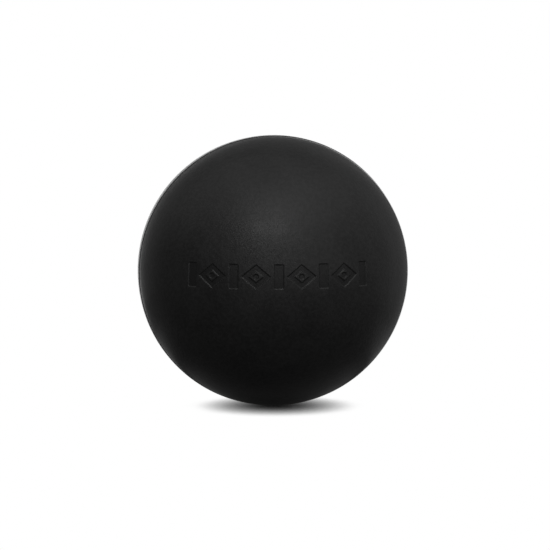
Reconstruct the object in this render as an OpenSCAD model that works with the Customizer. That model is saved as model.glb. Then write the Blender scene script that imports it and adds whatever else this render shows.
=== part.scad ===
// Lacrosse ball: a moulded rubber core inside a rubber cover.
// The cover is two half shells, which meet at the parting line in the plane Y = 0.
// The origin is the ball's centre, +Z is up, and the recessed band faces -Y.

/* [Ball] */
// Diameter over the skin of the cover
ball_d = 63.5; // [62.5:0.1:65]

/* [Cover] */
// Wall of each cover half, from its skin to its bore
cover_wall = 6.5; // [4.5:0.5:12]
// Film of rubber cement between the core and the cover
cement_film = 0.05; // [0.02:0.01:0.2]

/* [Parting line] */
// Width of the land where the flash was ground off, over both halves
land_w = 2; // [0.8:0.1:4]
// Height of the land above the skin
land_h = 0.1; // [0.04:0.02:0.3]

/* [Core] */
// Thickness of the rib round the core, which the cover halves hold between them
rib_w = 1.2; // [0.6:0.1:3]
// Reach of the rib beyond the core's surface
rib_reach = 2; // [1:0.1:3.5]

/* [Recessed band] */
// Depth of the figures below the skin
figure_depth = 0.2; // [0.1:0.05:1]
// Height of the figures
figure_h = 5.6; // [4:0.1:8]
// Width of one lozenge
lozenge_w = 6.8; // [5:0.1:9]
// Width of the groove that draws a lozenge
groove_w = 1.1; // [0.6:0.1:1.4]
// Diameter of the dimple inside a lozenge
dimple_d = 1.2; // [0.6:0.1:1.4]
// Width of one upright block
block_w = 2.2; // [1:0.1:4]
// Gap between neighbouring figures
figure_gap = 0.8; // [0.4:0.1:2]
// Number of lozenges, with a block before, between and after them
lozenge_count = 4; // [2:1:5]
// Turn of the band's middle from the front, positive to the right
band_turn = -6.4; // [-8:0.2:8]
// Angle of the band's middle above the ball's equator
band_rise = 3.2; // [-8:0.2:8]

/* [Hidden] */

// Segments of a full circle
$fn = 120;
// Side of the parting plane that a cover half lies on
front = -1;
rear = 1;
// Overrun of a cutting shape past the surface that it cuts
overrun = 1;

ball_r = ball_d / 2;
bore_r = ball_r - cover_wall;
core_r = bore_r - cement_film;
land_r = ball_r + land_h;
degrees_per_radian = 180 / PI;
// Step along the band from one lozenge to the next
band_pitch = lozenge_w + block_w + 2 * figure_gap;

// Angle at the ball's centre of a length along its skin
function skin_angle(length) = length / ball_r * degrees_per_radian;

// Share of a lozenge's size that is left inside a groove drawn just within its edges
function island_share(width, height, groove) =
    1 - 2 * groove * norm([width, height]) / (width * height);

// Everything on one side of the parting plane, as far as the cover reaches
module side_room(side) {
    reach = land_r + overrun;
    translate([-reach, side > 0 ? 0 : -reach, -reach])
        cube([2 * reach, reach, 2 * reach]);
}

// A disc in the parting plane, round the ball's centre
module parting_disc(radius, thickness) {
    rotate([90, 0, 0])
        cylinder(r = radius, h = thickness, center = true);
}

// The cover's whole shell with its raised land, before it is parted
module cover_shell() {
    difference() {
        union() {
            sphere(r = ball_r);
            intersection() {
                sphere(r = land_r);
                parting_disc(land_r + overrun, land_w);
            }
        }
        sphere(r = bore_r);
        parting_disc(core_r + rib_reach + cement_film, rib_w + 2 * cement_film);
    }
}

module lozenge(width, height) {
    polygon([[width / 2, 0], [0, height / 2], [-width / 2, 0], [0, -height / 2]]);
}

// Outline of a lozenge drawn with a groove, with a dimple in its middle
module lozenge_figure() {
    inner = island_share(lozenge_w, figure_h, groove_w);
    difference() {
        lozenge(lozenge_w, figure_h);
        lozenge(inner * lozenge_w, inner * figure_h);
    }
    circle(d = dimple_d);
}

module block_figure() {
    square([block_w, figure_h], center = true);
}

// Puts a flat figure on the skin, a length along the band from its middle, and cuts from the bore outwards
module on_band(along) {
    rotate([0, 0, band_turn + skin_angle(along)])
        rotate([90 - band_rise, 0, 0])
            translate([0, 0, bore_r])
                linear_extrude(cover_wall + overrun)
                    children();
}

// What the band's figures take out of the skin, down to one depth all over
module band_cuts() {
    difference() {
        union() {
            for (i = [0 : lozenge_count - 1])
                on_band((i - (lozenge_count - 1) / 2) * band_pitch) lozenge_figure();
            for (i = [0 : lozenge_count])
                on_band((i - lozenge_count / 2) * band_pitch) block_figure();
        }
        sphere(r = ball_r - figure_depth);
    }
}

module core() {
    color([0.2, 0.19, 0.18])
        union() {
            sphere(r = core_r);
            parting_disc(core_r + rib_reach, rib_w);
        }
}

module front_cover() {
    color([0.1, 0.1, 0.1])
        difference() {
            intersection() {
                cover_shell();
                side_room(front);
            }
            band_cuts();
        }
}

module rear_cover() {
    color([0.1, 0.1, 0.1])
        intersection() {
            cover_shell();
            side_room(rear);
        }
}

core();
front_cover();
rear_cover();
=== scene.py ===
"""A lacrosse ball, dressed for its studio photograph.

The ball is a dense rubber core bonded inside two cover halves, which meet at the parting line in the plane
Y = 0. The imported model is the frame. Every piece is built in metres round the ball's centre, with +Z up and
the recessed band towards -Y, and it stands for the node that it replaces.
"""

from __future__ import annotations

import logging
import math
from dataclasses import dataclass
from enum import Enum
from typing import Any, Mapping, Sequence

import bmesh
import bpy
import numpy as np
from mathutils import Matrix, Vector

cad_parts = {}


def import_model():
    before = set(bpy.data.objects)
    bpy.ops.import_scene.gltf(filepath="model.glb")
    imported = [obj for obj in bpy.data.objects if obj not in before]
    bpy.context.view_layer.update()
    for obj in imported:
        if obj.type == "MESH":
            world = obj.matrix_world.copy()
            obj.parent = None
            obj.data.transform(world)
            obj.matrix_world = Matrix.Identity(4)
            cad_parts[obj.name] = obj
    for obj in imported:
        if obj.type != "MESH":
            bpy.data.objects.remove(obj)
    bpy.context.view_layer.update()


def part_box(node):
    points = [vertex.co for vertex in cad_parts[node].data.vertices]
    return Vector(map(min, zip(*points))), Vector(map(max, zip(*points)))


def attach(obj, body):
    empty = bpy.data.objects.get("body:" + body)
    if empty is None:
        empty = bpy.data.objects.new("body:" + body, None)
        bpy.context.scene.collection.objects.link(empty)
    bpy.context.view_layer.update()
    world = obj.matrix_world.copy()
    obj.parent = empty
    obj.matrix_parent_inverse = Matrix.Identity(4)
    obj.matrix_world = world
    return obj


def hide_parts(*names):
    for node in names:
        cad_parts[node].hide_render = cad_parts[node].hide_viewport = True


LOG = logging.getLogger("lacrosse_ball")

MM = 0.001
MICRON = 0.000001
BODY = "root"
Y_AXIS = Vector((0.0, 1.0, 0.0))
WELD = 0.5 * MICRON
# Faces that meet at more than this angle are shaded as a corner
CORNER_ANGLE = math.radians(50.0)
# The value that each point of the front half carries: its share of a figure's depth
DEPTH_ATTRIBUTE = "figure_depth"
# The value that noise swings about
NOISE_MIDDLE = 0.5

Number = int | float
Point = tuple[float, float]
Span = tuple[float, float]
Colour = tuple[float, float, float, float]


class Side(Enum):
    """The side of the parting plane that a cover half lies on, as the sign of its Y."""

    FRONT = -1
    REAR = 1


def compass(azimuth: float, elevation: float) -> Vector:
    """Gives the direction from the ball towards a place around it.

    Args:
        azimuth: Turn from -Y towards +X, in degrees.
        elevation: Angle above the horizon, in degrees.

    Returns:
        The unit vector.
    """
    turn, rise = math.radians(azimuth), math.radians(elevation)
    return Vector((math.sin(turn) * math.cos(rise), -math.cos(turn) * math.cos(rise), math.sin(rise)))


def grey(level: float) -> Colour:
    """Gives a neutral colour, from 0 for black to 1 for white."""
    return (level, level, level, 1.0)


def smooth_step(share: np.ndarray) -> np.ndarray:
    """Eases a share from 0 to 1 and holds it outside that range."""
    held = np.clip(share, 0.0, 1.0)
    return held * held * (3.0 - 2.0 * held)


@dataclass(frozen=True)
class BallSizes:
    """Sizes that the pieces share, in metres."""

    skin_radius: float
    land_radius: float
    core_radius: float
    rib_radius: float
    cement_film: float = 0.05 * MM
    land_half_width: float = 1.0 * MM
    rib_half_width: float = 0.6 * MM

    @property
    def bore_radius(self) -> float:
        """Radius of the cover's bore."""
        return self.core_radius + self.cement_film

    @classmethod
    def from_frame(cls) -> BallSizes:
        """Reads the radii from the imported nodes' boxes.

        Returns:
            The sizes. A node reaches its plain radius along Y, and its land's or rib's radius along Z.
        """
        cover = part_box("rear_cover")[1]
        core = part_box("core")[1]
        return cls(skin_radius=cover.y, land_radius=cover.z, core_radius=core.y, rib_radius=core.z)


@dataclass(frozen=True)
class Mottle:
    """The form of fractal noise."""

    # Size of one feature
    feature: float
    # Octaves of finer noise
    detail: float = 2.0
    # How far the noise bends itself
    distortion: float = 0.0
    # The values between which a pattern made of it eases from nothing to full
    span: Span = (0.3, 0.7)


class Wire:
    """A shader socket that takes part in arithmetic, where each step adds a Math node."""

    def __init__(self, shader: Shader, socket: bpy.types.NodeSocket) -> None:
        """Keeps the socket and the tree that it is in."""
        self.shader = shader
        self.socket = socket

    def _math(self, operation: str, *values: Wire | Number) -> Wire:
        """Adds a Math node over the values."""
        return self.shader.add("ShaderNodeMath", {"operation": operation}, dict(enumerate(values)))

    def __add__(self, other: Wire | Number) -> Wire:
        """Adds."""
        return self._math("ADD", self, other)

    def __radd__(self, other: Number) -> Wire:
        """Adds to a number."""
        return self._math("ADD", other, self)

    def __sub__(self, other: Wire | Number) -> Wire:
        """Subtracts."""
        return self._math("SUBTRACT", self, other)

    def __rsub__(self, other: Number) -> Wire:
        """Subtracts from a number."""
        return self._math("SUBTRACT", other, self)

    def __mul__(self, other: Wire | Number) -> Wire:
        """Multiplies."""
        return self._math("MULTIPLY", self, other)

    def __rmul__(self, other: Number) -> Wire:
        """Multiplies a number."""
        return self._math("MULTIPLY", other, self)

    def __pow__(self, other: Number) -> Wire:
        """Raises to a power."""
        return self._math("POWER", self, other)

    def __abs__(self) -> Wire:
        """Drops the sign."""
        return self._math("ABSOLUTE", self)

    def at_most(self, high: Number) -> Wire:
        """Holds the value at or below a number."""
        return self._math("MINIMUM", self, high)

    def swing(self, reach: float) -> Wire:
        """Turns noise into a value that swings about 0."""
        return (self - NOISE_MIDDLE) * reach

    def ease(self, low: float, high: float) -> Wire:
        """Turns the value into a share that eases from 0 to 1.

        Args:
            low: Value where the share is 0.
            high: Value where the share is 1. It may lie below low.

        Returns:
            The share.
        """
        spans = {"Value": self, 1: low, 2: high, 3: 0.0, 4: 1.0}
        if high < low:
            spans = {"Value": self, 1: high, 2: low, 3: 1.0, 4: 0.0}
        return self.shader.add("ShaderNodeMapRange", {"interpolation_type": "SMOOTHSTEP"}, spans)


class Shader:
    """Builds the node tree of one material or world."""

    def __init__(self, owner: bpy.types.Material | bpy.types.World) -> None:
        """Empties a tree and keeps it.

        Args:
            owner: The material or world that the tree belongs to.
        """
        owner.use_nodes = True
        self.tree = owner.node_tree
        self.tree.nodes.clear()

    def add(
        self,
        kind: str,
        settings: Mapping[str, Any] | None = None,
        inputs: Mapping[str | int, Any] | None = None,
        output: str | int = 0,
    ) -> Wire:
        """Adds a node.

        Args:
            kind: The node's type.
            settings: The node's own properties, which are set first.
            inputs: A value or a Wire for each socket, by name or number.
            output: The socket that the Wire holds, by name or number.

        Returns:
            One output of the node, or its first input where it has no output.
        """
        node = self.tree.nodes.new(kind)
        for name, value in (settings or {}).items():
            setattr(node, name, value)
        for key, value in (inputs or {}).items():
            if isinstance(value, Wire):
                self.tree.links.new(value.socket, node.inputs[key])
            else:
                node.inputs[key].default_value = value
        return Wire(self, node.outputs[output] if node.outputs else node.inputs[0])

    def noise(self, where: Wire, mottle: Mottle) -> Wire:
        """Adds fractal noise.

        Args:
            where: The coordinates, in metres.
            mottle: The noise's form.

        Returns:
            The noise.
        """
        spans = {
            "Vector": where,
            "Scale": 1.0 / mottle.feature,
            "Detail": mottle.detail,
            "Distortion": mottle.distortion,
        }
        return self.add("ShaderNodeTexNoise", None, spans)

    def stretched(self, where: Wire, factors: Sequence[float]) -> Wire:
        """Scales coordinates along each axis."""
        return self.add("ShaderNodeMapping", None, {"Vector": where, "Scale": tuple(factors)})

    def reach_along(self, where: Wire, direction: Vector) -> Wire:
        """Measures how far coordinates reach along a direction."""
        ends = {0: where, 1: tuple(direction)}
        return self.add("ShaderNodeVectorMath", {"operation": "DOT_PRODUCT"}, ends, "Value")

    def blend(self, share: Wire, low: Wire | Colour, high: Wire | Colour) -> Wire:
        """Mixes two colours.

        Args:
            share: How much of the high colour there is.
            low: The colour at 0.
            high: The colour at 1.

        Returns:
            The colour.
        """
        return self.add("ShaderNodeMix", {"data_type": "RGBA"}, {"Factor": share, 6: low, 7: high}, "Result")

    def layer(self, share: Wire, low: Wire, high: Wire) -> Wire:
        """Mixes two surfaces.

        Args:
            share: How much of the high surface there is.
            low: The surface at 0.
            high: The surface at 1.

        Returns:
            The surface.
        """
        return self.add("ShaderNodeMixShader", None, {0: share, 1: low, 2: high})

    def finish(self, surface: Wire, kind: str = "ShaderNodeOutputMaterial") -> None:
        """Links a surface shader to the tree's output."""
        self.add(kind, None, {"Surface": surface})


@dataclass(frozen=True)
class CoverRubber:
    """Matt black moulded rubber, with a buffed land along the parting line."""

    slot: str = "cover_rubber"
    black: float = 0.0052
    bloom: float = 0.0126
    # Shares of the bloom that the clouds and the flow marks carry
    cloud_bloom: float = 0.4
    flow_bloom: float = 0.6
    # Share of the bloom that is left in the figures; the recesses lose the rest, which darkens them as
    # painted shade
    bloom_left_in_painted_recess_shade: float = 0.2
    roughness: float = 0.5
    roughness_swing: float = 0.1
    figure_roughness: float = 0.05
    specular_level: float = 0.3
    cloud: Mottle = Mottle(8.0 * MM, 3.0, 0.5)
    flow: Mottle = Mottle(0.8 * MM, 2.0, 0.3, (0.35, 0.65))
    flow_height: float = 45.0 * MICRON
    grain: Mottle = Mottle(0.32 * MM, 3.0)
    grain_height: float = 26.0 * MICRON
    # The smooth film that the mould leaves on the skin
    film: float = 0.5
    film_roughness: float = 0.08
    film_ior: float = 1.06
    # Grey of the buffed land, and the share of it that is left between the scuffs
    buffed: float = 0.038
    buffed_least: float = 0.5
    # Share of the land's width that is wholly buffed, and how far the edge of the buffing strays
    buffed_width: float = 0.85
    buffed_waver: float = 0.5 * MM
    # What the land adds to the skin's roughness and film
    buffed_roughness: float = 0.16
    burnish: float = 0.5
    # The scuffs across the land, which run round the ball for so many times their width
    scuff: Mottle = Mottle(0.07 * MM)
    scuff_run: float = 60.0
    scuff_height: float = 7.0 * MICRON

    def material(self, sizes: BallSizes) -> bpy.types.Material:
        """Builds the finish.

        Args:
            sizes: The ball's sizes, for the place of the land.

        Returns:
            The material.
        """
        made = bpy.data.materials.new("moulded_cover_rubber")
        shader = Shader(made)
        place = shader.add("ShaderNodeTexCoord", None, None, "Object")
        across = abs(shader.add("ShaderNodeSeparateXYZ", None, {0: place}, "Y"))
        figure = shader.add("ShaderNodeAttribute", {"attribute_name": DEPTH_ATTRIBUTE}, None, "Fac")

        grain = shader.noise(place, self.grain)
        flow = shader.noise(place, self.flow)
        cloud = shader.noise(place, self.cloud)
        wavered = across + flow.swing(self.buffed_waver)
        land = wavered.ease(sizes.land_half_width, sizes.land_half_width * self.buffed_width)
        along = 1.0 / self.scuff_run
        scuff = shader.noise(shader.stretched(place, (along, 1.0, along)), self.scuff)

        bloom = cloud.ease(*self.cloud.span) * self.cloud_bloom + flow.ease(*self.flow.span) * self.flow_bloom
        # Painted shade: the recessed figures lose most of their bloom, so their colour is darker
        bloom = bloom * (1.0 - figure * (1.0 - self.bloom_left_in_painted_recess_shade))
        skin = shader.blend(bloom, grey(self.black), grey(self.bloom))
        rubbed = scuff.ease(*self.scuff.span) * (1.0 - self.buffed_least) + self.buffed_least
        colour = shader.blend(land * rubbed, skin, grey(self.buffed))
        roughness = (
            self.roughness
            + cloud.swing(self.roughness_swing)
            + grain.swing(self.roughness_swing)
            + land * self.buffed_roughness
            + figure * self.figure_roughness
        )
        height = grain * self.grain_height + flow * self.flow_height + land * scuff * self.scuff_height
        bump = shader.add("ShaderNodeBump", None, {"Strength": 1.0, "Distance": 1.0, "Height": height})
        surface = shader.add(
            "ShaderNodeBsdfPrincipled",
            None,
            {
                "Base Color": colour,
                "Roughness": roughness,
                "Normal": bump,
                "Specular IOR Level": self.specular_level,
                "Coat Weight": land * self.burnish + self.film,
                "Coat Roughness": self.film_roughness,
                "Coat IOR": self.film_ior,
            },
        )
        shader.finish(surface)
        return made


@dataclass(frozen=True)
class CoreRubber:
    """Dense rubber pressed from crumb, with a film of cement over it."""

    slot: str = "core_rubber"
    dark: float = 0.018
    light: float = 0.055
    roughness: float = 0.62
    roughness_swing: float = 0.16
    specular_level: float = 0.4
    # The crumbs that stay whole, and the smears of those that are pressed into each other
    crumb: float = 1.1 * MM
    crumb_height: float = 25.0 * MICRON
    smear: Mottle = Mottle(1.1 * MM)
    # Shares of the speckle that smears and crumbs carry, and the values between which it turns light
    smear_speckle: float = 0.6
    crumb_speckle: float = 0.4
    speckle_span: Span = (0.3, 0.62)
    grain: Mottle = Mottle(0.2 * MM)
    grain_height: float = 8.0 * MICRON

    def material(self) -> bpy.types.Material:
        """Builds the finish.

        Returns:
            The material.
        """
        made = bpy.data.materials.new("pressed_core_rubber")
        shader = Shader(made)
        place = shader.add("ShaderNodeTexCoord", None, None, "Object")
        smear = shader.noise(place, self.smear)
        crumb = shader.add("ShaderNodeTexVoronoi", None, {"Vector": place, "Scale": 1.0 / self.crumb})
        grain = shader.noise(place, self.grain)
        speckle = (smear * self.smear_speckle + crumb * self.crumb_speckle).ease(*self.speckle_span)
        colour = shader.blend(speckle, grey(self.dark), grey(self.light))
        roughness = self.roughness + smear.swing(self.roughness_swing)
        height = crumb * -self.crumb_height + grain * self.grain_height
        bump = shader.add("ShaderNodeBump", None, {"Strength": 1.0, "Distance": 1.0, "Height": height})
        surface = shader.add(
            "ShaderNodeBsdfPrincipled",
            None,
            {
                "Base Color": colour,
                "Roughness": roughness,
                "Normal": bump,
                "Specular IOR Level": self.specular_level,
            },
        )
        shader.finish(surface)
        return made


class Outline:
    """A profile in the half-plane of an axis, as points of (reach from the axis, height along it)."""

    def __init__(self) -> None:
        """Starts with no points."""
        self.points: list[Point] = []

    def line_to(self, reach: float, height: float) -> Outline:
        """Runs straight to a point."""
        self.points.append((reach, height))
        return self

    def arc(self, radius: float, start: float, end: float, steps: int) -> Outline:
        """Runs round the ball's centre.

        Args:
            radius: The arc's radius.
            start: Angle from the axis where the arc starts, in radians.
            end: Angle where it ends.
            steps: Edges along it.

        Returns:
            The outline.
        """
        for step in range(steps + 1):
            angle = start + (end - start) * step / steps
            self.line_to(radius * math.sin(angle), radius * math.cos(angle))
        return self

    def fillet(self, centre: Point, radius: float, start: float, end: float, steps: int) -> Outline:
        """Runs round a small circle.

        Args:
            centre: The circle's centre, as (reach, height).
            radius: Its radius.
            start: Angle from the direction of reach where the fillet starts, in degrees.
            end: Angle where it ends.
            steps: Edges along it.

        Returns:
            The outline.
        """
        for step in range(steps + 1):
            angle = math.radians(start + (end - start) * step / steps)
            self.line_to(centre[0] + radius * math.cos(angle), centre[1] + radius * math.sin(angle))
        return self

    def spun(self, mesh: bmesh.types.BMesh, side: Side, steps: int) -> None:
        """Turns the outline once round the Y axis.

        Args:
            mesh: The mesh that takes the surface.
            side: The side of the parting plane where heights are positive.
            steps: Faces round the axis.
        """
        verts = [mesh.verts.new((reach, side.value * height, 0.0)) for reach, height in self.points]
        edges = [mesh.edges.new(pair) for pair in zip(verts, verts[1:])]
        bmesh.ops.spin(
            mesh,
            geom=verts + edges,
            cent=(0.0, 0.0, 0.0),
            axis=Y_AXIS,
            dvec=(0.0, 0.0, 0.0),
            angle=math.tau,
            space=Matrix.Identity(4),
            steps=steps,
            use_merge=True,
            use_normal_flip=False,
            use_duplicate=False,
        )


def close_up(mesh: bmesh.types.BMesh) -> None:
    """Merges a mesh's doubles and points its faces outwards.

    Args:
        mesh: The mesh, whose surface is closed once its doubles are merged.
    """
    bmesh.ops.remove_doubles(mesh, verts=mesh.verts, dist=WELD)
    bmesh.ops.dissolve_degenerate(mesh, edges=mesh.edges, dist=WELD)
    bmesh.ops.recalc_face_normals(mesh, faces=mesh.faces)


def new_piece(name: str, mesh: bmesh.types.BMesh, material: bpy.types.Material) -> bpy.types.Object:
    """Makes a piece of a finished mesh.

    Args:
        name: The piece's name.
        mesh: The mesh, which is freed.
        material: The piece's finish.

    Returns:
        The piece, at the origin and smooth except along its corners.
    """
    data = bpy.data.meshes.new(name)
    mesh.to_mesh(data)
    mesh.free()
    data.materials.append(material)
    data.shade_smooth()
    data.set_sharp_from_angle(angle=CORNER_ANGLE)
    piece = bpy.data.objects.new(name, data)
    bpy.context.scene.collection.objects.link(piece)
    return piece


def dress(piece: bpy.types.Object, node: str) -> None:
    """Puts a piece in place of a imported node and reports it.

    Args:
        piece: The piece.
        node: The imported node.
    """
    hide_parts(node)
    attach(piece, BODY)
    LOG.info("%s: %d faces, in place of %s", piece.name, len(piece.data.polygons), node)


@dataclass(frozen=True)
class RecessedBand:
    """A row of grooved lozenges with a dimple in each, and upright blocks before, between and after them."""

    depth: float = 0.2 * MM
    height: float = 5.6 * MM
    lozenge_width: float = 6.8 * MM
    groove_width: float = 1.1 * MM
    dimple_diameter: float = 1.2 * MM
    block_width: float = 2.2 * MM
    gap: float = 0.8 * MM
    lozenge_count: int = 4
    # The band's middle, as a turn from the front towards +X and an angle above the equator, in degrees
    turn: float = -6.4
    rise: float = 3.2
    wall_run: float = 0.28 * MM
    corner_radius: float = 0.25 * MM
    # How near a figure's outline the skin's faces are halved, once for each entry
    halving_reaches: tuple[float, ...] = (1.6 * MM, 0.9 * MM, 0.5 * MM, 0.28 * MM)

    @property
    def pitch(self) -> float:
        """Step along the band from one lozenge to the next."""
        return self.lozenge_width + self.block_width + 2.0 * self.gap

    def _flat_places(self, points: np.ndarray, radius: float, along: float) -> tuple[np.ndarray, np.ndarray]:
        """Lays points on the flat of one figure.

        Args:
            points: Points on the skin, one a row.
            radius: The skin's radius.
            along: Length along the band from its middle to the figure.

        Returns:
            Each point's distance sideways from the figure's middle and up or down from it. Sideways it is
            endless for points on the far side of the ball.
        """
        azimuth = math.radians(self.turn) + along / radius
        rise = math.radians(self.rise)
        right = np.array((math.cos(azimuth), math.sin(azimuth), 0.0))
        outward = np.array((math.sin(azimuth), -math.cos(azimuth), 0.0)) * math.cos(rise)
        outward = outward + np.array((0.0, 0.0, math.sin(rise)))
        upward = np.cross(right, outward)
        across = np.where(points @ outward > 0.0, points @ right, np.inf)
        return np.abs(across), np.abs(points @ upward)

    def _lozenge(self, across: np.ndarray, up: np.ndarray) -> np.ndarray:
        """Measures the distance from a grooved lozenge's outline and its dimple.

        Args:
            across: Distances sideways from the lozenge's middle.
            up: Distances up or down from it.

        Returns:
            The distances, negative inside the groove and the dimple.
        """
        half_width, half_height = self.lozenge_width / 2.0, self.height / 2.0
        slant = math.hypot(half_width, half_height)
        edge = (across * half_height + up * half_width - half_width * half_height) / slant
        groove = np.abs(edge + self.groove_width / 2.0) - self.groove_width / 2.0
        dimple = np.hypot(across, up) - self.dimple_diameter / 2.0
        return np.minimum(groove, dimple)

    def _block(self, across: np.ndarray, up: np.ndarray) -> np.ndarray:
        """Measures the distance from an upright block's outline, which has rounded corners.

        Args:
            across: Distances sideways from the block's middle.
            up: Distances up or down from it.

        Returns:
            The distances, negative inside the block.
        """
        past_side = across - self.block_width / 2.0 + self.corner_radius
        past_end = up - self.height / 2.0 + self.corner_radius
        outside = np.hypot(np.maximum(past_side, 0.0), np.maximum(past_end, 0.0))
        return outside + np.minimum(np.maximum(past_side, past_end), 0.0) - self.corner_radius

    def distance(self, points: np.ndarray, radius: float) -> np.ndarray:
        """Measures how far points lie from the nearest figure's outline.

        Args:
            points: Points on the skin, one a row.
            radius: The skin's radius.

        Returns:
            The distances along the skin, negative inside a figure.
        """
        nearest = np.full(len(points), np.inf)
        for index in range(self.lozenge_count):
            along = (index - (self.lozenge_count - 1) / 2.0) * self.pitch
            nearest = np.minimum(nearest, self._lozenge(*self._flat_places(points, radius, along)))
        for index in range(self.lozenge_count + 1):
            along = (index - self.lozenge_count / 2.0) * self.pitch
            nearest = np.minimum(nearest, self._block(*self._flat_places(points, radius, along)))
        return nearest

    def depth_share(self, points: np.ndarray, radius: float) -> np.ndarray:
        """Gives the depth at points on the skin, from 0 on the skin to 1 on a figure's floor.

        Args:
            points: Points on the skin, one a row.
            radius: The skin's radius.

        Returns:
            The shares of the depth. A wall's middle lies on the outline.
        """
        return smooth_step(0.5 - self.distance(points, radius) / self.wall_run)


@dataclass(frozen=True)
class CoverHalf:
    """One half of the rubber cover: skin, land, parting face, rib relief and bore in one closed shell."""

    sizes: BallSizes
    side: Side
    round_steps: int = 256
    skin_steps: int = 40
    bore_steps: int = 32
    land_steps: int = 2
    land_ramp: float = 0.14 * MM
    edge_round: float = 0.06 * MM
    round_edges: int = 4

    def _outline(self, first_angle: float) -> Outline:
        """Draws the half's profile from its skin to its bore.

        Args:
            first_angle: Angle from the pole where the profile starts on the skin.

        Returns:
            The outline.
        """
        sizes = self.sizes
        skin, land = sizes.skin_radius, sizes.land_radius
        foot_angle = math.acos(sizes.land_half_width / skin)
        top_angle = math.acos((sizes.land_half_width - self.land_ramp) / land)
        outline = Outline().arc(skin, first_angle, foot_angle, self.skin_steps)
        for step in range(1, self.round_edges):
            share = step / self.round_edges
            height = sizes.land_half_width - self.land_ramp * share
            radius = skin + (land - skin) * float(smooth_step(np.array(share)))
            outline.line_to(math.sqrt(radius * radius - height * height), height)
        lip = self.edge_round
        outline.arc(land, top_angle, math.acos(lip / land), self.land_steps)
        outline.fillet((math.sqrt(land * land - lip * lip) - lip, lip), lip, 0.0, -90.0, self.round_edges)

        relief_reach = sizes.rib_radius + sizes.cement_film
        relief_depth = sizes.rib_half_width + sizes.cement_film
        outline.fillet((relief_reach + lip, lip), lip, -90.0, -180.0, self.round_edges)
        outline.line_to(relief_reach, relief_depth)
        bore_angle = math.acos((relief_depth + lip) / sizes.bore_radius)
        mouth = sizes.bore_radius * math.sin(bore_angle)
        outline.fillet((mouth + lip, relief_depth + lip), lip, -90.0, -180.0, self.round_edges)
        return outline.arc(sizes.bore_radius, bore_angle, 0.0, self.bore_steps)

    def build(self) -> bmesh.types.BMesh:
        """Builds the plain half.

        Returns:
            The closed shell.
        """
        mesh = bmesh.new()
        self._outline(0.0).spun(mesh, self.side, self.round_steps)
        close_up(mesh)
        return mesh


@dataclass(frozen=True)
class FrontCover(CoverHalf):
    """The half with the recessed band, whose pole is a patch of squares that grow finer round the figures."""

    band: RecessedBand = RecessedBand()
    # Angle from the pole to the patch's edge, where the spun skin starts
    patch_angle: float = math.radians(60.0)

    def _wrap(self, across: float, up: float) -> Vector:
        """Wraps a square's point over the front pole.

        Args:
            across: Place across the square, from -1 to 1.
            up: Place up the square, from -1 to 1.

        Returns:
            The point on the skin. Squares round the middle turn into circles round the pole.
        """
        if abs(across) >= abs(up):
            share = across
            turn = math.pi / 4.0 * up / across if across else 0.0
        else:
            share = up
            turn = math.pi / 2.0 - math.pi / 4.0 * across / up
        angle = share * self.patch_angle
        reach = math.sin(angle)
        point = Vector((reach * math.cos(turn), -math.cos(angle), reach * math.sin(turn)))
        return point * self.sizes.skin_radius

    def _lay_patch(self, mesh: bmesh.types.BMesh) -> None:
        """Lays the patch over the pole.

        Args:
            mesh: The mesh, which is empty.
        """
        # Each of the four sides meets a quarter of the spun skin's faces
        squares = self.round_steps // 4
        bmesh.ops.create_grid(mesh, x_segments=squares, y_segments=squares, size=1.0)
        for vert in mesh.verts:
            vert.co = self._wrap(vert.co.x, vert.co.y)

    def _refine_patch(self, mesh: bmesh.types.BMesh) -> None:
        """Halves the patch's faces, again and again, near the outlines of the figures.

        Args:
            mesh: The mesh, which holds the patch alone.
        """
        for reach in self.band.halving_reaches:
            centres = np.array([face.calc_center_median() for face in mesh.faces])
            near = np.abs(self.band.distance(centres, self.sizes.skin_radius)) < reach
            edges = {edge for face, chosen in zip(mesh.faces, near) if chosen for edge in face.edges}
            bmesh.ops.subdivide_edges(mesh, edges=list(edges), cuts=1, use_grid_fill=True)
            for vert in mesh.verts:
                vert.co = vert.co.normalized() * self.sizes.skin_radius

    def _press_figures(self, mesh: bmesh.types.BMesh) -> None:
        """Presses the figures into the patch and notes how deep each point lies.

        Args:
            mesh: The mesh, which holds the patch alone.
        """
        points = np.array([vert.co for vert in mesh.verts])
        shares = self.band.depth_share(points, self.sizes.skin_radius)
        layer = mesh.verts.layers.float.new(DEPTH_ATTRIBUTE)
        for vert, share in zip(mesh.verts, shares):
            vert[layer] = share
            vert.co *= 1.0 - share * self.band.depth / self.sizes.skin_radius

    def build(self) -> bmesh.types.BMesh:
        """Builds the half with its figures.

        Returns:
            The closed shell.
        """
        mesh = bmesh.new()
        self._lay_patch(mesh)
        self._refine_patch(mesh)
        self._press_figures(mesh)
        self._outline(self.patch_angle).spun(mesh, self.side, self.round_steps)
        close_up(mesh)
        return mesh


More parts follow.
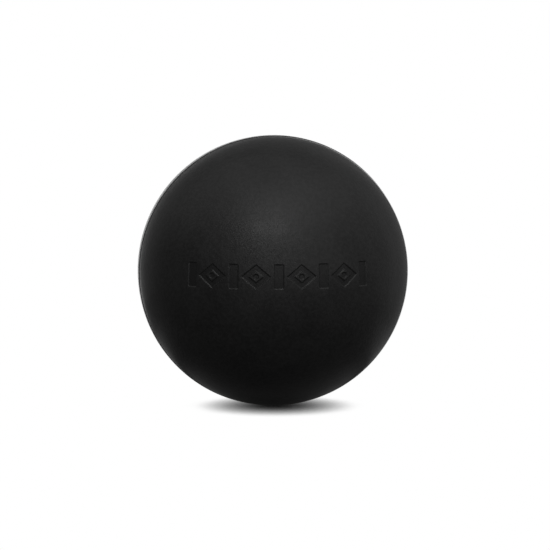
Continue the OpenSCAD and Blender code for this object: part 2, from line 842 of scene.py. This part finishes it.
@dataclass(frozen=True)
class Core:
    """The dense ball inside the cover, with the rib that the cover halves hold between them."""

    sizes: BallSizes
    round_steps: int = 160
    arc_steps: int = 40
    rib_round: float = 0.15 * MM
    root_round: float = 0.3 * MM
    round_edges: int = 4

    def _half_outline(self, flip: int) -> Outline:
        """Draws the profile from a pole to the middle of the rib's edge.

        Args:
            flip: 1 for the pole on the +Y side and -1 for the other.

        Returns:
            The outline, with heights along +Y.
        """
        sizes = self.sizes
        root, edge = self.root_round, self.rib_round
        foot = sizes.rib_half_width + root
        outline = Outline().arc(sizes.core_radius, 0.0, math.acos(foot / sizes.core_radius), self.arc_steps)
        reach = outline.points[-1][0]
        outline.fillet((reach + root, foot), root, 180.0, 270.0, self.round_edges)
        corner = (sizes.rib_radius - edge, sizes.rib_half_width - edge)
        outline.fillet(corner, edge, 90.0, 0.0, self.round_edges)
        outline.points = [(reach, flip * height) for reach, height in outline.points]
        return outline

    def build(self) -> bmesh.types.BMesh:
        """Builds the core.

        Returns:
            The closed solid.
        """
        outline = self._half_outline(1)
        outline.points += reversed(self._half_outline(-1).points)
        mesh = bmesh.new()
        outline.spun(mesh, Side.REAR, self.round_steps)
        close_up(mesh)
        return mesh


@dataclass(frozen=True)
class StudioCamera:
    """The camera, far off in front of the ball. Lengths of the lens and the film are in millimetres."""

    azimuth: float = -9.0
    elevation: float = 6.0
    lens: float = 300.0
    film_width: float = 36.0
    # The frame's side, and the ball's middle and radius in it, in pixels
    frame_pixels: float = 550.0
    ball_x: float = 272.76
    ball_y: float = 270.35
    ball_radius: float = 135.12

    def place(self, skin_radius: float) -> None:
        """Sets the camera up so that the ball fills its place in the frame.

        Args:
            skin_radius: The ball's radius.
        """
        pixel = self.film_width / self.frame_pixels
        half_angle = math.atan(self.ball_radius * pixel / self.lens)
        camera = bpy.data.objects.new("camera", bpy.data.cameras.new("camera"))
        camera.data.lens = self.lens
        camera.data.sensor_width = self.film_width
        camera.data.shift_x = 0.5 - self.ball_x / self.frame_pixels
        camera.data.shift_y = self.ball_y / self.frame_pixels - 0.5
        away = compass(self.azimuth, self.elevation)
        camera.location = away * skin_radius / math.sin(half_angle)
        camera.rotation_euler = away.to_track_quat("Z", "Y").to_euler()
        bpy.context.scene.collection.objects.link(camera)
        bpy.context.scene.camera = camera


@dataclass(frozen=True)
class SoftBox:
    """A rectangular lamp that faces the ball, placed by its turn from the camera."""

    name: str
    azimuth: float
    elevation: float
    width: float
    height: float
    radiance: float
    distance: float = 1.0

    def place(self, camera_azimuth: float) -> None:
        """Hangs the lamp.

        Args:
            camera_azimuth: The camera's own azimuth, in degrees.
        """
        lamp = bpy.data.lights.new(self.name, "AREA")
        lamp.shape = "RECTANGLE"
        lamp.size = self.width
        lamp.size_y = self.height
        # A flat lamp gives off pi watts for each square metre and unit of radiance
        lamp.energy = math.pi * self.radiance * self.width * self.height
        hung = bpy.data.objects.new(self.name, lamp)
        bpy.context.scene.collection.objects.link(hung)
        away = compass(camera_azimuth + self.azimuth, self.elevation)
        hung.location = away * self.distance
        hung.rotation_euler = away.to_track_quat("Z", "Y").to_euler()
        hung.visible_camera = False


@dataclass(frozen=True)
class Surroundings:
    """The world round the ball: white to the camera, dim to the ball, with a white backdrop in its gloss."""

    camera: StudioCamera
    level: float = 0.109
    backdrop_level: float = 1.0
    # The backdrop's middle, as a turn from straight behind the ball, and its spread round that, in degrees
    backdrop_turn: float = 7.0
    backdrop_spread: float = 18.0
    # Share of the spread over which its edge fades to either side
    backdrop_fade: float = 0.15
    # Height of a direction, as the sine of its angle, where the backdrop starts and where it is full
    backdrop_foot: Span = (-0.25, -0.15)

    def light(self) -> None:
        """Lights the world."""
        world = bpy.data.worlds.new("studio")
        bpy.context.scene.world = world
        world.cycles.sampling_method = "NONE"
        shader = Shader(world)
        seen = shader.add("ShaderNodeLightPath", None, None, "Is Camera Ray")
        gloss = shader.add("ShaderNodeLightPath", None, None, "Is Glossy Ray")
        toward = shader.add("ShaderNodeTexCoord", None, None, "Generated")
        behind = -compass(self.camera.azimuth + self.backdrop_turn, self.camera.elevation)
        off_middle = shader.reach_along(toward, behind)
        outer = math.cos(math.radians(self.backdrop_spread * (1.0 + self.backdrop_fade)))
        inner = math.cos(math.radians(self.backdrop_spread * (1.0 - self.backdrop_fade)))
        rise = shader.add("ShaderNodeSeparateXYZ", None, {0: toward}, "Z")
        backdrop = off_middle.ease(outer, inner) * rise.ease(*self.backdrop_foot) * gloss
        strength = seen + (1.0 - seen) * (backdrop * self.backdrop_level + self.level)
        white = shader.add("ShaderNodeBackground", None, {"Color": grey(1.0), "Strength": strength})
        shader.finish(white, "ShaderNodeOutputWorld")


@dataclass(frozen=True)
class GlowZone:
    """A zone of the floor that shines in the ball's gloss, with lengths as shares of the ball's radius.

    Reach is measured from the ball's centre, so it is 1 where the ball stands. Run goes along the floor, away
    from the camera. A span gives where the zone has no glow and where it has all of it.
    """

    level: float
    reach_in: Span
    run_in: Span
    reach_out: Span | None = None
    run_out: Span | None = None
    # Share of the glow that is left nearer than the reach where it starts
    least: float = 0.0

    def strength(self, reach: Wire, run: Wire) -> Wire:
        """Gives the zone's glow.

        Args:
            reach: Reach from the ball's centre.
            run: Run along the floor.

        Returns:
            The glow, where 1 is white.
        """
        share = reach.ease(*self.reach_in) * (1.0 - self.least) + self.least
        share = share * run.ease(*self.run_in)
        for measure, span in ((reach, self.reach_out), (run, self.run_out)):
            if span is not None:
                share = share * measure.ease(*span)
        return share * self.level


@dataclass(frozen=True)
class StudioFloor:
    """The pale floor: white to the camera but for the ball's soft shade, and grey to the ball."""

    sizes: BallSizes
    camera: StudioCamera
    radius: float = 0.3
    segments: int = 128
    # Share of open sky at which the camera sees the floor as white, and how steeply it darkens below that
    white_share: float = 0.36
    contrast: float = 1.6
    shade_samples: int = 32
    # How far the shade leans away from the rear left, as a turn from the camera and a slope
    shade_turn: float = 202.0
    shade_slope: float = 0.13
    # What the ball sees of the floor: its grey, its reach from the ball's centre, and the share of that reach
    # over which it fades to either side
    ball_grey: float = 0.14
    ball_reach: float = 0.072
    ball_fade: float = 0.1
    # The way that the glow runs, as a turn from the camera, and its zones behind the ball and at its foot
    glow_turn: float = 174.0
    far_glow: GlowZone = GlowZone(level=0.21, reach_in=(1.42, 1.64), run_in=(0.0, 0.5))
    foot_glow: GlowZone = GlowZone(
        level=0.16,
        reach_in=(1.005, 1.12),
        run_in=(-0.8, 0.2),
        reach_out=(1.45, 1.2),
        run_out=(0.6, 0.0),
        least=0.15,
    )

    def _shade(self, shader: Shader) -> Wire:
        """Gives the brightness of the floor that the camera sees.

        Args:
            shader: The floor's shader.

        Returns:
            The brightness, where 1 is white.
        """
        lean = compass(self.camera.azimuth + self.shade_turn, 0.0) * self.shade_slope
        normal = Vector((lean.x, lean.y, 1.0)).normalized()
        leaning = shader.add("ShaderNodeCombineXYZ", None, dict(zip("XYZ", normal)))
        samples = {"samples": self.shade_samples}
        open_sky = shader.add("ShaderNodeAmbientOcclusion", samples, {"Normal": leaning}, "AO")
        return ((open_sky * (1.0 / self.white_share)) ** self.contrast).at_most(1.0)

    def _glow(self, shader: Shader, place: Wire, reach: Wire) -> Wire:
        """Gives the glow that only the ball's gloss sees.

        Args:
            shader: The floor's shader.
            place: Coordinates from the ball's centre, in metres.
            reach: Their length.

        Returns:
            The glow, where 1 is white.
        """
        gloss = shader.add("ShaderNodeLightPath", None, None, "Is Glossy Ray")
        run = shader.reach_along(place, compass(self.camera.azimuth + self.glow_turn, 0.0))
        radii_per_metre = 1.0 / self.sizes.skin_radius
        reach, run = reach * radii_per_metre, run * radii_per_metre
        return (self.far_glow.strength(reach, run) + self.foot_glow.strength(reach, run)) * gloss

    def _material(self) -> bpy.types.Material:
        """Builds the floor's finish.

        Returns:
            The material.
        """
        made = bpy.data.materials.new("studio_floor")
        made.cycles.emission_sampling = "NONE"
        shader = Shader(made)
        place = shader.add("ShaderNodeTexCoord", None, None, "Object")
        reach = shader.add("ShaderNodeVectorMath", {"operation": "LENGTH"}, {0: place}, "Value")
        dark = shader.add("ShaderNodeEmission", None, {"Strength": 0.0})
        white = shader.add("ShaderNodeEmission", None, {"Color": grey(1.0), "Strength": 1.0})
        clear = shader.add("ShaderNodeBsdfTransparent")

        matt = shader.add("ShaderNodeBsdfDiffuse", None, {"Color": grey(self.ball_grey)})
        glow = shader.layer(self._glow(shader, place, reach), dark, white)
        lit = shader.add("ShaderNodeAddShader", None, {0: matt, 1: glow})
        fade = self.ball_reach * self.ball_fade
        beyond = reach.ease(self.ball_reach - fade, self.ball_reach + fade)
        to_ball = shader.layer(beyond, lit, clear)
        to_camera = shader.layer(self._shade(shader), dark, white)
        seen = shader.add("ShaderNodeLightPath", None, None, "Is Camera Ray")
        from_below = shader.add("ShaderNodeNewGeometry", None, None, "Backfacing")
        shader.finish(shader.layer(from_below, shader.layer(seen, to_ball, to_camera), clear))
        return made

    def lay(self) -> None:
        """Lays the floor under the ball's lowest point."""
        mesh = bmesh.new()
        bmesh.ops.create_circle(mesh, cap_ends=True, segments=self.segments, radius=self.radius)
        bmesh.ops.translate(mesh, verts=mesh.verts, vec=(0.0, 0.0, -self.sizes.land_radius))
        floor = new_piece("floor", mesh, self._material())


@dataclass(frozen=True)
class Studio:
    """The camera, the white surroundings, the pale floor and the lamps."""

    sizes: BallSizes
    camera: StudioCamera = StudioCamera()
    lamps: tuple[SoftBox, ...] = (
        SoftBox("key", -3.7, 42.0, 0.5, 0.2, 7.5),
        SoftBox("high_left", -35.0, 55.0, 0.9, 0.9, 0.31),
        SoftBox("high_right", 35.0, 55.0, 0.9, 0.9, 0.69),
        SoftBox("overhead", -12.6, 88.9, 4.2, 1.16, 0.455),
        SoftBox("front_strip", 20.0, 8.0, 3.0, 0.3, 1.08),
        SoftBox("side_right", 110.0, 20.0, 0.8, 1.6, 0.22),
        SoftBox("rear_right", 140.0, 15.0, 0.8, 1.4, 0.13),
        SoftBox("rear_left", -146.0, 8.0, 1.0, 0.75, 0.155),
        SoftBox("rear_high", 180.0, 26.0, 0.8, 0.7, 0.13),
    )

    def build(self) -> None:
        """Sets up the whole studio."""
        self.camera.place(self.sizes.skin_radius)
        Surroundings(self.camera).light()
        StudioFloor(self.sizes, self.camera).lay()
        for lamp in self.lamps:
            lamp.place(self.camera.azimuth)
        bpy.context.scene.view_settings.view_transform = "Standard"


def main() -> None:
    """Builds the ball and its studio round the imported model."""
    logging.basicConfig(level=logging.INFO, format="%(name)s: %(message)s")
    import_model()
    sizes = BallSizes.from_frame()
    Studio(sizes).build()

    cover_rubber, core_rubber = CoverRubber(), CoreRubber()
    cover_finish = cover_rubber.material(sizes)
    front = new_piece("moulded_front_cover", FrontCover(sizes, Side.FRONT).build(), cover_finish)
    dress(front, "front_cover")
    rear = new_piece("moulded_rear_cover", CoverHalf(sizes, Side.REAR).build(), cover_finish)
    dress(rear, "rear_cover")
    core = new_piece("pressed_core", Core(sizes).build(), core_rubber.material())
    dress(core, "core")


if __name__ == "__main__":
    main()
